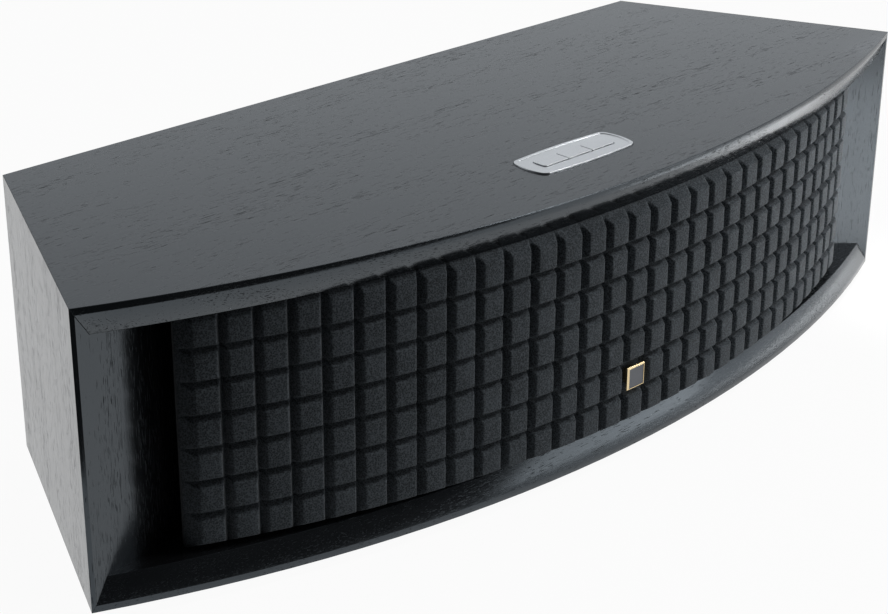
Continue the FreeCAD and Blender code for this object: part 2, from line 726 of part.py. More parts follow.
def woofer():
    basket = turned("basket", [
        ("woofer_throat", "-woofer_flange"), ("woofer_radius", "-woofer_flange"), ("woofer_radius", "0"),
        ("woofer_throat + 3.5", "0"), ("magnet_radius - 1", "woofer_depth - 3"),
        ("magnet_radius - 1", "woofer_depth"), ("coil_radius + 3", "woofer_depth"),
        ("coil_radius + 3", "woofer_depth - basket_wall"),
        ("magnet_radius - 3.5", "woofer_depth - basket_wall"), ("woofer_throat", "1"),
    ])
    ribs = int(sheet.basket_ribs)
    half = "(180 / basket_ribs - 9)"
    near, far = "(magnet_radius - 0.8)", "(woofer_throat - 0.6)"
    opening = body_sketch(basket, "basket_opening", "XZ", [
        (f"{near} * cos({half})", f"-{near} * sin({half})"),
        (f"{far} * cos({half})", f"-{far} * sin({half})"),
        (f"{far} * cos({half})", f"{far} * sin({half})"),
        (f"{near} * cos({half})", f"{near} * sin({half})"),
    ])
    slot = feature(basket, "Pocket", "basket_slot", opening, {"Length": "woofer_depth + 5"})
    pattern = basket.newObject("PartDesign::PolarPattern", "basket_slots")
    pattern.Originals = [slot]
    pattern.Axis = (origin_feature(basket, "Y_Axis"), [""])
    pattern.Occurrences = ribs
    bind(pattern, {"Angle": "360"})
    basket.Tip = pattern
    doc.recompute()
    holes = bolt_rods("basket_hole", WOOFER_BOLTS, "-10", "20", "0.2")
    driver_piece(cut("basket_drilled", basket, holes), "woofer_basket", "woofer")

    driver_piece(turned("magnet", [
        ("0", "woofer_depth"), ("coil_radius - 0.8", "woofer_depth"),
        ("coil_radius - 0.8", "woofer_depth + 14"), ("coil_radius + 1", "woofer_depth + 14"),
        ("coil_radius + 1", "woofer_depth"),
        ("magnet_radius", "woofer_depth"), ("magnet_radius", "woofer_depth + magnet_length"),
        ("0", "woofer_depth + magnet_length"),
    ]), "woofer_magnet", "woofer")
    driver_piece(turned("coil", [
        ("coil_radius - 0.2", "cone_neck"), ("coil_radius + 0.3", "cone_neck"),
        ("coil_radius + 0.3", "woofer_depth + 11"), ("coil_radius - 0.2", "woofer_depth + 11"),
    ]), "woofer_coil", "woofer")
    driver_piece(turned("spider", [
        ("coil_radius + 0.4", "woofer_depth - 9"), ("magnet_radius - 2", "woofer_depth - 9"),
        ("magnet_radius - 2", "woofer_depth - 8.2"), ("coil_radius + 0.4", "woofer_depth - 8.2"),
    ]), "woofer_spider", "woofer")
    driver_piece(turned("cone", [
        ("cone_radius", "-woofer_flange"), ("cone_radius", "-woofer_flange + 1"),
        ("cone_root", "cone_neck + 1"), ("cone_root", "cone_neck"),
    ]), "woofer_cone", "woofer")
    lip, crown = "-woofer_flange - 0.8", "-woofer_flange - 0.05"
    outer_roll, inner_roll = "(surround_width / 2 - 0.5)", "(surround_width / 2 - 1.2)"
    driver_piece(turned("surround", [
        ("surround_edge", crown), ("surround_edge", lip), ("woofer_throat - 1", lip, "cw", outer_roll),
        ("cone_radius + 1", lip), ("cone_radius - 1", lip), ("cone_radius - 1", crown),
        ("cone_radius + 1.7", crown, "ccw", inner_roll), ("woofer_throat - 1.7", crown),
    ]), "woofer_surround", "woofer")
    cap = dome("dust_cap", "cap_radius", "(cap_seat - 0.75)", "6", "0.7")
    driver_piece(cap, "woofer_dust_cap", "woofer")
    screws = []
    for index, (x, z) in enumerate(WOOFER_BOLTS):
        head = rod(f"woofer_head_{index}", "y", "screw_head", (x, "-woofer_flange - screw_head_high", z),
                   "screw_head_high")
        shank = rod(f"woofer_shank_{index}", "y", "screw_radius * 0.8", (x, "-woofer_flange - 1", z),
                    "woofer_flange + 9")
        screws.append(fuse(f"woofer_screw_{index}", [head, shank]))
    both_sides("woofer_screws", group("woofer_screws_right", screws), "woofer")


def tweeter():
    horn = turned("horn", [
        ("tweeter_radius", "-tweeter_flange"), ("tweeter_radius", "0"), ("tweeter_magnet", "0"),
        ("tweeter_magnet", "6"), ("dome_radius + 0.5", "6"), ("dome_radius + 0.5", "4.5"),
        ("tweeter_radius - 7.5", "-tweeter_flange"),
    ])
    holes = bolt_rods("horn_hole", TWEETER_BOLTS, "-10", "20", "0.2")
    driver_piece(cut("horn_drilled", horn, holes), "tweeter_horn", "tweeter")
    driver_piece(dome("silk_dome", "dome_radius", "5.4", "4.4", "0.5"), "tweeter_dome", "tweeter")
    driver_piece(turned("tweeter_motor", [
        ("0", "6.1"), ("tweeter_magnet", "6.1"), ("tweeter_magnet", "tweeter_depth"), ("0", "tweeter_depth"),
    ]), "tweeter_magnet", "tweeter")
    screws = []
    for index, (x, z) in enumerate(TWEETER_BOLTS):
        head = rod(f"tweeter_head_{index}", "y", "screw_head * 0.8", (x, "-tweeter_flange - 1.5", z), "1.5")
        shank = rod(f"tweeter_shank_{index}", "y", "screw_radius * 0.8", (x, "-tweeter_flange - 1", z),
                    "tweeter_flange + 8")
        screws.append(fuse(f"tweeter_screw_{index}", [head, shank]))
    both_sides("tweeter_screws", group("tweeter_screws_right", screws), "tweeter")


def ports():
    """A flared bass port let into the rear panel; its own -Y is turned to the back."""
    flare, bore, wall = "port_flare", "port_bore", "port_wall"
    tube = turned("port_tube", [
        ("port_rim", "0"), (f"{bore} + {flare}", "0", "cw", flare), (bore, f"-{flare}"),
        (bore, "-port_length"), (f"{bore} + {wall}", "-port_length"), (f"{bore} + {wall}", "-port_flare - 4"),
        ("port_rim - 3", "-port_flare - 4"), ("port_rim - 3", "-2.5"), ("port_rim", "-2.5"),
    ])
    bind(tube, {"Placement.Base.x": "port_x", "Placement.Base.y": "rear_face", "Placement.Base.z": "mid_z"})
    pair(tube, "port")


# Rear connections and electronics

def connector_plate():
    half_wide, half_high = "plate_back_width / 2", "plate_back_height / 2"
    plate = box("connector_sheet", (f"-{half_wide}", half_wide), ("plate_back_inner", "rear_face"),
                (f"mid_z - {half_high}", f"mid_z + {half_high}"))
    through = ("plate_back_inner - 5", "back_y + 5")
    tools = [
        box("inlet_hole", ("inlet_x - 12.7", "inlet_x + 12.7"), through, ("inlet_z - 9.7", "inlet_z + 9.7")),
        box("network_hole", ("network_x - 8.2", "network_x + 8.2"), through,
            ("socket_z - 7.2", "socket_z + 7.2")),
        box("usb_hole", ("usb_x - 5", "usb_x + 5"), through, ("socket_z - 2.2", "socket_z + 2.2")),
        rod("aux_hole", "y", "4.2", ("aux_x", "plate_back_inner - 5", "socket_z"), "20"),
    ]
    for index, (x, z) in enumerate(PLATE_SCREWS):
        start = (x, "plate_back_inner - 5", z)
        tools.append(rod(f"plate_hole_{index}", "y", "screw_radius + 0.15", start, "20"))
    keep(cut("connector_plate", plate, tools))
    screws = []
    for index, (x, z) in enumerate(PLATE_SCREWS):
        head = rod(f"plate_head_{index}", "y", "2.8", (x, "rear_face", z), "1.6")
        shank = rod(f"plate_shank_{index}", "y", "screw_radius", (x, "rear_face - 12", z), "12.5")
        screws.append(fuse(f"plate_screw_{index}", [head, shank]))
    keep(group("connector_screws", screws))


def sockets():
    block = box("inlet_block", ("inlet_x - 12.5", "inlet_x + 12.5"), ("rear_face - 22", "rear_face"),
                ("inlet_z - 9.5", "inlet_z + 9.5"))
    mouth = [
        rod(f"inlet_lobe_{index}", "y", "4.8", (f"inlet_x {side} 4.3", "rear_face - 14", "inlet_z"), "20")
        for index, side in enumerate("+-")
    ]
    waist = box("inlet_waist", ("inlet_x - 4.3", "inlet_x + 4.3"), ("rear_face - 14", "rear_face + 5"),
                ("inlet_z - 4.3", "inlet_z + 4.3"))
    keep(cut("mains_inlet", block, mouth + [waist]))
    keep(group("inlet_pins", [
        rod(f"inlet_pin_{index}", "y", "1.2", (f"inlet_x {side} 4.3", "rear_face - 14", "inlet_z"), "10")
        for index, side in enumerate("+-")
    ]))

    shell = box("network_block", ("network_x - 8", "network_x + 8"), ("board_y", "rear_face"),
                ("socket_z - 7", "socket_z + 7"))
    mouth = box("network_mouth", ("network_x - 5.9", "network_x + 5.9"), ("rear_face - 13", "back_y"),
                ("socket_z - 3.5", "socket_z + 5"))
    latch = box("network_latch", ("network_x - 3", "network_x + 3"), ("rear_face - 13", "back_y"),
                ("socket_z - 5.5", "socket_z - 3"))
    keep(cut("network_socket", shell, [mouth, latch]))

    body = box("aux_block", ("aux_x - 5.5", "aux_x + 5.5"), ("board_y", "plate_back_inner"),
               ("socket_z - 5", "socket_z + 5"))
    nose = rod("aux_nose", "y", "4", ("aux_x", "plate_back_inner - 1", "socket_z"), "plate_back_thick + 1")
    bore = rod("aux_bore", "y", "1.8", ("aux_x", "rear_face - 15", "socket_z"), "20")
    keep(cut("aux_socket", fuse("aux_solid", [body, nose]), [bore]))

    shell = box("usb_block", ("usb_x - 4.6", "usb_x + 4.6"), ("board_y", "rear_face"),
                ("socket_z - 1.8", "socket_z + 1.8"))
    mouth = box("usb_mouth", ("usb_x - 4.1", "usb_x + 4.1"), ("rear_face - 7", "back_y"),
                ("socket_z - 1.3", "socket_z + 1.3"))
    tongue = box("usb_tongue", ("usb_x - 3.3", "usb_x + 3.3"), ("rear_face - 8", "rear_face - 1"),
                 ("socket_z - 0.35", "socket_z + 0.35"))
    keep(fuse("usb_socket", [cut("usb_shell", shell, [mouth]), tongue]))


def electronics():
    """Boards in the middle bay; what stands on the power board keeps its share of the bay's width."""
    board = ("board_y - board_thick", "board_y")
    keep(box("main_board", ("-bay + 4", "bay - 4"), board, ("mid_z - 12", "mid_z + 42")))

    bed = "inner_low + 8"
    back, front = "board_y - 20", "board_y - 105"
    keep(box("power_board", ("-bay", "bay"), (front, back), (bed, f"{bed} + board_thick")))
    corners = [(x, y) for x in ("-bay + 6", "bay - 6") for y in (f"{back} - 6", f"{front} + 6")]
    keep(group("board_posts", [
        rod(f"post_{index}", "z", "3", (x, y, "inner_low"), "8") for index, (x, y) in enumerate(corners)
    ]))

    top = f"{bed} + board_thick"
    keep(box("transformer", ("-bay * 0.86", "-bay * 0.2"), (f"{back} - 46", f"{back} - 8"),
             (top, f"{top} + 30")))
    run = (f"{front} + 12", f"{front} + 62")
    base = box("sink_base", ("bay * 0.14", "bay * 0.86"), run, (top, f"{top} + 5"))
    pitch, fin = "(bay * 0.09 - 0.25)", "2"
    starts = [f"bay * 0.14 + {index} * {pitch}" for index in range(9)]
    fins = [
        box(f"sink_fin_{index}", (start, f"{start} + {fin}"), run, (f"{top} + 4", f"{top} + 38"))
        for index, start in enumerate(starts)
    ]
    keep(fuse("heat_sink", [base] + fins))
    keep(group("capacitors", [
        rod(f"capacitor_{index}", "z", "bay * 0.14",
            (f"bay * ({index} * 0.31 - 0.72)", f"{front} + 20", top), "26")
        for index in range(3)
    ]))


# Controls

KEYS = {"power_key": "-1", "volume_down_key": "0", "volume_up_key": "1"}


def control_plate():
    blank = barrel("plate_blank", "0", "plate_under", "plate_top")
    field = barrel("plate_field_cut", "plate_rim", "plate_top - plate_field", "plate_top + 5")
    half_long, half_wide = "(1.5 * key_step + key_gap / 2)", "(key_width / 2 + key_gap)"
    window = prism("key_window", [
        (f"-{half_long}", f"plate_y - {half_wide}"), (half_long, f"plate_y - {half_wide}"),
        (half_long, f"plate_y + {half_wide}"), (f"-{half_long}", f"plate_y + {half_wide}"),
    ], "plate_under - 5", "plate_top + 5")
    round_uprights(window, "key_corner")
    bosses = [
        rod(f"plate_boss_{index}", "z", "1.9", (x, "plate_y", "key_bed"), "key_board_drop + 1")
        for index, x in enumerate(("-plate_boss_x", "plate_boss_x"))
    ]
    keep(fuse("control_plate", [cut("plate_open", blank, [field, window])] + bosses))


def keys():
    """Three caps cut from one strip that follows the window, each with a collar that keeps it in."""
    half_long, half_wide = "(1.5 * key_step - key_gap / 2)", "(key_width / 2)"
    tall = ("plate_under - 1", "plate_top - plate_field + key_rise")
    strip = prism("key_strip", [
        (f"-{half_long}", f"plate_y - {half_wide}"), (half_long, f"plate_y - {half_wide}"),
        (half_long, f"plate_y + {half_wide}"), (f"-{half_long}", f"plate_y + {half_wide}"),
    ], *tall)
    round_uprights(strip, "key_corner - key_gap")
    for name, place in KEYS.items():
        middle = f"({place} * key_step)"
        length = (f"{middle} - key_length / 2", f"{middle} + key_length / 2")
        share = box(name + "_share", length, ("plate_y - key_width", "plate_y + key_width"), tall)
        cap = common(name + "_cap", strip, share)
        collar = box(name + "_collar", (f"{length[0]} + 2.5", f"{length[1]} - 2.5"),
                     (f"plate_y - {half_wide} - 1.6", f"plate_y + {half_wide} + 1.6"),
                     ("plate_under - 1.5", "plate_under - 0.3"))
        stem = box(name + "_stem", (f"{middle} - 2", f"{middle} + 2"), ("plate_y - 2", "plate_y + 2"),
                   ("plate_under - 2", "plate_under - 0.5"))
        keep(fuse(name, [cap, collar, stem]))


def key_board():
    sheet_board = box("key_board_sheet", ("-key_board_half", "key_board_half"),
                      ("plate_y - 8.5", "plate_y + 8.5"), ("key_bed - board_thick", "key_bed"))
    switches = [
        box(f"switch_{index}", (f"{place} * key_step - 3", f"{place} * key_step + 3"),
            ("plate_y - 3", "plate_y + 3"), ("key_bed - 0.5", "plate_under - 2 - key_travel - 0.4"))
        for index, place in enumerate(KEYS.values())
    ]
    keep(fuse("key_board", [sheet_board] + switches))


# Feet

def feet():
    soles, screws = [], []
    for index, (x, y) in enumerate(FOOT_SPOTS):
        sole = rod(f"sole_{index}", "z", "foot_radius", (x, y, "0"), "foot_height")
        well = rod(f"sole_well_{index}", "z", "screw_head + 1", (x, y, "-1"), "4")
        hole = rod(f"sole_hole_{index}", "z", "screw_radius + 0.1", (x, y, "-1"), "foot_height + 2")
        soles.append(cut(f"foot_{index}", sole, [well, hole]))
        head = rod(f"foot_head_{index}", "z", "screw_head", (x, y, "1.2"), "1.8")
        shank = rod(f"foot_shank_{index}", "z", "screw_radius", (x, y, "2"), "foot_height + 7")
        screws.append(fuse(f"foot_screw_{index}", [head, shank]))
    keep(group("feet", soles), group("foot_screws", screws))


for build in (top_panel, bottom_panel, side_panels, cheeks, rear_panel, front_baffle, dividers, grille_foam,
              grille_frame, grille_cups, badge, woofer, tweeter, ports, connector_plate, sockets, electronics,
              control_plate, keys, key_board, feet):
    build()
    doc.recompute()

# Check every object and write the pieces

faults = [item.Name for item in doc.Objects if "Invalid" in item.State or "Error" in item.State]
faults += [item.Label for item in pieces if item.Shape.isNull() or not item.Shape.isValid()]
if faults:
    raise RuntimeError("these objects did not build: " + ", ".join(faults))

os.makedirs("parts", exist_ok=True)
for item in pieces:
    item.Shape.exportStep(f"parts/{item.Label}.step")
print(len(pieces), "pieces written")
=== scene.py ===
# %% [markdown]
# This lesson dresses a wireless speaker: a black veneered cabinet with an arc front, a grille cut
# from block foam and a small metal control plate. The solids come packed from the CAD model and
# stay where they are. What is added here is what the eye reads: finishes, softened edges, foam.

# %% Load the solids
import json
import math
import random

import bmesh
import bpy
from mathutils import Matrix, Vector


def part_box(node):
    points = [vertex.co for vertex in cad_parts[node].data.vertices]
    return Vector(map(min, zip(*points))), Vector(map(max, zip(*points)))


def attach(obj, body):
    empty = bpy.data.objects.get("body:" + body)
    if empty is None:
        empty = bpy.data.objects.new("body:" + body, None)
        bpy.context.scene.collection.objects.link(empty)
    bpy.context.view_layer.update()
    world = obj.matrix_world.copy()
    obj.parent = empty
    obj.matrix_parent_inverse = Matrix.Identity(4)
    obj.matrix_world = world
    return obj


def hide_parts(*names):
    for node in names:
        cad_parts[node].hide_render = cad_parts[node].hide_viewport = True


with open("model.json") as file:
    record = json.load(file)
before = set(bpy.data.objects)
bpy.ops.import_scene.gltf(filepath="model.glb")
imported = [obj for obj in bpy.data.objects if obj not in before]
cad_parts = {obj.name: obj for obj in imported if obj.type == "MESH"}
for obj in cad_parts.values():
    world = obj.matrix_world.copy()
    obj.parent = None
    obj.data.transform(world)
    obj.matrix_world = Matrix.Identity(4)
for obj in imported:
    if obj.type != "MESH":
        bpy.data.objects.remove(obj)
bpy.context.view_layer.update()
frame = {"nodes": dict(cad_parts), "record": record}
nodes = frame["nodes"]

# %% [markdown]
# Everything is in metres, but a maker thinks in millimetres, so MM converts. Colours are written as
# the hex values that a screen shows and turned to linear light by one function. Two more feed a shader
# node and add one, and the last puts an object into the scene.

# %% Units, colours and one way to add a node
MM = 0.001
WHITE = (1, 1, 1, 1)


def linear(hex_colour):
    """Turn an sRGB hex colour into the linear RGBA that shaders use."""
    channels = [int(hex_colour[place:place + 2], 16) / 255 for place in (1, 3, 5)]
    return tuple(c / 12.92 if c <= 0.04045 else ((c + 0.055) / 1.055) ** 2.4 for c in channels) + (1.0,)


def feed(tree, node, inputs):
    """Set a node's inputs, each to a value or to the output socket of another node."""
    for name, value in inputs.items():
        if isinstance(value, bpy.types.NodeSocket):
            tree.links.new(value, node.inputs[name])
        else:
            node.inputs[name].default_value = value


def add(tree, kind, inputs=None, **settings):
    """Add one shader node, set it and feed it."""
    node = tree.nodes.new("ShaderNode" + kind)
    for name, value in settings.items():
        setattr(node, name, value)
    feed(tree, node, inputs or {})
    return node


def put(name, data):
    """Put a new object into the scene."""
    item = bpy.data.objects.new(name, data)
    bpy.context.collection.objects.link(item)
    return item


print("colour check, mid grey:", round(linear("#808080")[0], 3))

# %% [markdown]
# The camera comes first. Its place was solved
# from the corners of the cabinet in the picture: a long lens, to the left of the speaker, above it
# and turned a little. With the picture's width and the sensor's width, the focal length follows.

# %% Camera
IMAGE_WIDTH, SENSOR_WIDTH = 888, 36
FOCAL_PIXELS = 2035.45
CAMERA_PLACE = Vector((-758.4, -749.2, 536.1)) * MM
CAMERA_YAW, CAMERA_PITCH, CAMERA_ROLL = 44.064, 24.391, 0.355

lens = bpy.data.cameras.new("studio_lens")
lens.sensor_width = SENSOR_WIDTH
lens.lens = FOCAL_PIXELS / IMAGE_WIDTH * SENSOR_WIDTH
lens.clip_start = 10 * MM
camera = put("studio_camera", lens)
camera.matrix_world = (
    Matrix.Translation(CAMERA_PLACE)
    @ Matrix.Rotation(math.radians(-CAMERA_YAW), 4, "Z")
    @ Matrix.Rotation(math.radians(90 - CAMERA_PITCH), 4, "X")
    @ Matrix.Rotation(math.radians(CAMERA_ROLL), 4, "Z")
)
bpy.context.scene.camera = camera
print("lens:", round(lens.lens, 1), "mm")

# %% [markdown]
# Every finish is built from the same few steps: coordinates in which a pattern has its real size, soft
# random spots, a value moved to another range, a share of one value on top of another, a colour between
# two others, and a relief.

# %% Steps that the finishes share
def start_finish(name):
    """A new material: its node tree, its main shader and the object's own coordinates."""
    material = bpy.data.materials.new(name)
    material.use_nodes = True
    tree = material.node_tree
    return material, tree, tree.nodes["Principled BSDF"], add(tree, "TexCoord").outputs["Object"]


def sized(tree, place, size):
    """Coordinates in which a pattern's cell measures size millimetres, or (x, y, z) millimetres."""
    lengths = size if isinstance(size, tuple) else (size, size, size)
    scale = tuple(1 / (length * MM) for length in lengths)
    return add(tree, "VectorMath", {0: place, 1: scale}, operation="MULTIPLY").outputs[0]


def spots(tree, place, size, detail):
    """Soft random spots of a size in millimetres."""
    cells = sized(tree, place, size)
    return add(tree, "TexNoise", {"Vector": cells, "Scale": 1, "Detail": detail}).outputs[0]


def remap(tree, value, source, target=(0, 1), shape="LINEAR"):
    """Move a value from one range to another and stop it at both ends."""
    ends = {"From Min": source[0], "From Max": source[1], "To Min": target[0], "To Max": target[1]}
    return add(tree, "MapRange", {"Value": value, **ends}, interpolation_type=shape).outputs[0]


def add_share(tree, value, share, rest):
    """A share of one value on top of another."""
    return add(tree, "Math", {0: value, 1: share, 2: rest}, operation="MULTIPLY_ADD").outputs[0]


def blend(tree, factor, first, second):
    """A colour between two others."""
    return add(tree, "Mix", {"Factor": factor, 6: first, 7: second}, data_type="RGBA").outputs[2]


def bump(tree, height, strength, depth):
    """A relief that is depth millimetres deep."""
    return add(tree, "Bump", {"Height": height, "Strength": strength, "Distance": depth * MM}).outputs[0]


print("materials that came with the solids:", len(bpy.data.materials))

# %% [markdown]
# The cabinet is oak veneer, stained black under a thin satin lacquer that leaves the pores open. The
# stain itself is nearly black. What the eye sees is the lacquer mirroring the white table and the
# room, faint fibres that ruffle the mirror, and short dark dashes where the lacquer sinks into a
# pore. So a pore takes away shine as well as colour, and pores come in patches that follow the broad
# figure of the wood. The grain runs along the width on the top and bottom and upright on the sides,
# so one recipe is given a direction. A pore is about 0.2 mm wide, too fine for the picture, so it is
# drawn twice as wide.

# %% Black open-pore veneer
PORE_LENGTH, PORE_WIDTH = 7, 0.45
FIBRE_LENGTH, FIBRE_WIDTH = 45, 0.8
FIGURE_LENGTH, FIGURE_WIDTH = 120, 14
FIGURE_SHARE, PIT_RANGE = 0.35, (0.8, 0.92)
STAIN_DARK, STAIN_PALE, PORE_COLOUR = "#0e0f10", "#1e1f21", "#040404"
# The cool tint on the lacquer's shine is painted light: it stands in for the cool light of the room, not a
# colour of the lacquer.
ROOM_REFLECTION_TINT, LACQUER_SHINE, PORE_SHINE = "#e4f3ff", 0.84, 0.42
FIBRE_RANGE, LACQUER_ROUGHNESS, PORE_ROUGHNESS = (0.3, 0.7), (0.13, 0.21), 0.4
VENEER_BUMP, VENEER_RELIEF = 0.2, 0.1


def veneer(name, upright):
    """Black-stained open-pore oak under satin lacquer, with its grain along Z or along X."""
    material, tree, shader, place = start_finish(name)

    def grain(length, width, detail):
        cell = (width, width, length) if upright else (length, width, width)
        return spots(tree, place, cell, detail)

    fibres = grain(FIBRE_LENGTH, FIBRE_WIDTH, detail=4)
    figure = grain(FIGURE_LENGTH, FIGURE_WIDTH, detail=2)
    pores = grain(PORE_LENGTH, PORE_WIDTH, detail=1)
    pits = remap(tree, add_share(tree, figure, FIGURE_SHARE, pores), PIT_RANGE)
    stain = blend(tree, figure, linear(STAIN_DARK), linear(STAIN_PALE))
    ruffled = remap(tree, fibres, FIBRE_RANGE, LACQUER_ROUGHNESS)
    height = add_share(tree, pits, -1.0, fibres)
    feed(tree, shader, {
        "Base Color": blend(tree, pits, stain, linear(PORE_COLOUR)),
        "Specular IOR Level": remap(tree, pits, (0, 1), (LACQUER_SHINE, PORE_SHINE)),
        # Painted reflection colour: the room's cool light tinted into the lacquer's shine.
        "Specular Tint": linear(ROOM_REFLECTION_TINT),
        "Roughness": add_share(tree, pits, PORE_ROUGHNESS, ruffled),
        "Normal": bump(tree, height, VENEER_BUMP, VENEER_RELIEF),
    })
    return material


veneer_lengthways = veneer("black_oak_veneer_lengthways", upright=False)
veneer_upright = veneer("black_oak_veneer_upright", upright=True)
print("veneers:", veneer_lengthways.name, veneer_upright.name)

# %% [markdown]
# Block foam is reticulated polyurethane, hot-wire cut into a sheet of square blocks and dyed black.
# Its surface is a mesh of tiny open cells, so it is dead matt, speckled, and slightly paler along
# the edges, where the strands stand against the light. Cells are 0.6 to 1 mm across. A sheen layer
# gives the pale edges. The speckle is painted into the colour by a cellular pattern: painted shade
# in the hollow of each open cell, paler strands between the cells, and broad patches of random tone.

# %% Open-cell foam
CELL, FUZZ, PATCH = 0.9, 0.7, 25
PORE_SHADE_RANGE, PATCH_SHARE = (0.15, 0.75), 0.3
# Dark and pale stops of the foam's colour: painted shade in the open cells, paler strands between them.
PAINTED_PORE_TONES = ((0.18, "#282c2f"), (0.68, "#555b60"))
FOAM_BUMP, FOAM_RELIEF = 0.5, 0.3
FOAM_GLOSS = {"Roughness": 0.95, "Specular IOR Level": 0.2, "Sheen Weight": 0.12, "Sheen Roughness": 0.5}


def open_cell_foam():
    """Dyed reticulated polyurethane foam, wire-cut."""
    material, tree, shader, place = start_finish("black_open_cell_foam")
    cells = add(tree, "TexVoronoi", {"Vector": sized(tree, place, CELL), "Scale": 1})
    # Painted shade: darker in the hollow of each open cell, paler on the strands between the cells.
    pore_shade = remap(tree, cells.outputs["Distance"], PORE_SHADE_RANGE)
    fuzz = spots(tree, place, FUZZ, detail=3)
    patches = spots(tree, place, PATCH, detail=2)
    fuzzy_pore_shade = add(tree, "Math", {0: pore_shade, 1: fuzz}, operation="MULTIPLY").outputs[0]
    mixed = add_share(tree, patches, PATCH_SHARE, fuzzy_pore_shade)
    # The ramp paints that shade, varied by fuzz and by random patches, into the base colour.
    tone = add(tree, "ValToRGB", {"Fac": mixed})
    for stop, (position, colour) in zip(tone.color_ramp.elements, PAINTED_PORE_TONES):
        stop.position = position
        stop.color = linear(colour)
    feed(tree, shader, FOAM_GLOSS)
    feed(tree, shader, {"Base Color": tone.outputs[0], "Normal": bump(tree, mixed, FOAM_BUMP, FOAM_RELIEF)})
    return material


foam_finish = open_cell_foam()
print("foam cells:", CELL, "mm")

# %% [markdown]
# Most of the rest is moulded, painted or pressed: sprayed board inside the cabinet, moulded ABS with a
# fine spark-eroded grain for the ports and sockets, rubber feet, powder-coated steel, paper and cloth
# in the drivers, solder mask on the boards. They share one recipe: a colour with slow drift, a grain
# of a real size, and the roughness that their process leaves.

# %% Painted, moulded and pressed finishes
def grained(name, colours, roughness, grain, depth, cloud=30, varies=0.07, strength=0.4):
    """A finish that drifts between two colours, with a grain of that many millimetres across and deep."""
    material, tree, shader, place = start_finish(name)
    bumps = spots(tree, place, grain, detail=2)
    drift = spots(tree, place, cloud, detail=3)
    feed(tree, shader, {
        "Base Color": blend(tree, drift, *[linear(colour) for colour in colours]),
        "Roughness": remap(tree, bumps, (0, 1), (roughness - varies, roughness + varies)),
        "Normal": bump(tree, bumps, strength, depth),
    })
    return material


board_paint = grained("sprayed_black_board", ("#0a0a0b", "#101011"), 0.7, 0.9, 0.08)
abs_plastic = grained("moulded_black_abs", ("#18181a", "#1f1f21"), 0.5, 0.5, 0.06)
rubber = grained("moulded_black_rubber", ("#1a1a1a", "#212121"), 0.78, 1.2, 0.06)
enamel = grained("grey_enamel", ("#5d6067", "#6a6d74"), 0.22, 1.5, 0.02)
powder = grained("powder_coated_steel", ("#1b1b1d", "#232325"), 0.48, 0.7, 0.09)
cloth = grained("treated_cloth", ("#3d3730", "#4a4339"), 0.85, 0.8, 0.15)
paper = grained("coated_paper_pulp", ("#222223", "#2d2d2e"), 0.7, 1.6, 0.12)
solder_mask = grained("green_solder_mask", ("#14482a", "#1b5a36"), 0.35, 0.6, 0.03)
sleeve = grained("shrink_sleeve", ("#16161c", "#1f1f28"), 0.3, 1.0, 0.02)
others = (board_paint, abs_plastic, rubber, enamel, powder, cloth, paper, solder_mask, sleeve)
print("other finishes:", [finish.name for finish in others])

# %% [markdown]
# The control plate and its keys are anodised aluminium, bead-blasted before anodising, which gives
# a pale even satin. The other metals have a finer or coarser grit of the same kind. For all of them
# the last recipe serves once more, with shallower dents and the shader set to metal.

# %% Satin anodised aluminium and the other metals
METAL_GRAIN = {"depth": 0.05, "cloud": 14, "varies": 0.08, "strength": 0.12}


def blasted_metal(name, colours, roughness, grit):
    """A metal with a blasted surface: grit is the size of its dents in millimetres."""
    material = grained(name, colours, roughness, grit, **METAL_GRAIN)
    tree = material.node_tree
    feed(tree, tree.nodes["Principled BSDF"], {"Metallic": 1.0})
    return material


aluminium = blasted_metal("satin_anodised_aluminium", ("#dadcdf", "#e6e8ea"), 0.3, 0.5)
gilt = blasted_metal("polished_gilt_brass", ("#e4ca97", "#f3e0ba"), 0.2, 0.4)
zinc = blasted_metal("black_zinc_screws", ("#343437", "#4a4a4d"), 0.4, 0.3)
plated = blasted_metal("plated_magnet_steel", ("#66676b", "#7d7e82"), 0.35, 0.6)
nickel = blasted_metal("nickel_contacts", ("#b3b0a8", "#c9c6bf"), 0.25, 0.3)
extruded = blasted_metal("extruded_aluminium", ("#b0b1b4", "#c4c5c8"), 0.42, 0.8)
copper = blasted_metal("enamelled_copper_wire", ("#94502a", "#b8693a"), 0.35, 0.3)
print("metals:", [metal.name for metal in (aluminium, gilt, zinc, plated, nickel, extruded, copper)])

# %% [markdown]
# Each solid knows its material slot from the record, so one table from slot to finish dresses them
# all. Only the veneer needs the piece as well, for the way its grain runs.

# %% Dress the solids
FINISH_OF_SLOT = {
    "black_veneer": veneer_upright, "black_board": board_paint, "block_foam": foam_finish,
    "black_plastic": abs_plastic, "black_rubber": rubber, "gold_metal": gilt, "grey_enamel": enamel,
    "satin_aluminium": aluminium, "black_steel": powder, "magnet_steel": plated, "copper_winding": copper,
    "spider_cloth": cloth, "cone_paper": paper, "screw_steel": zinc, "bright_contact": nickel,
    "circuit_board": solder_mask, "bare_aluminium": extruded, "capacitor_sleeve": sleeve,
}
for piece in frame["record"]["subparts"]:
    nodes[piece["node"]].material_slots[0].material = FINISH_OF_SLOT[piece["material_slot"]]
for panel in ("top_panel", "bottom_panel"):
    nodes[panel].material_slots[0].material = veneer_lengthways

# %% [markdown]
# No real edge is perfectly sharp: sanding leaves the veneer a fraction of a millimetre round, and
# that is what catches the light along the front. A chain of modifiers does it without touching the
# solid: weld the faces together, merge the flat ones, round the edges that are left. The sides and
# the slanting walls inside the front are left sharp, because there two pieces meet in one plane and
# a rounded joint would show as a line.

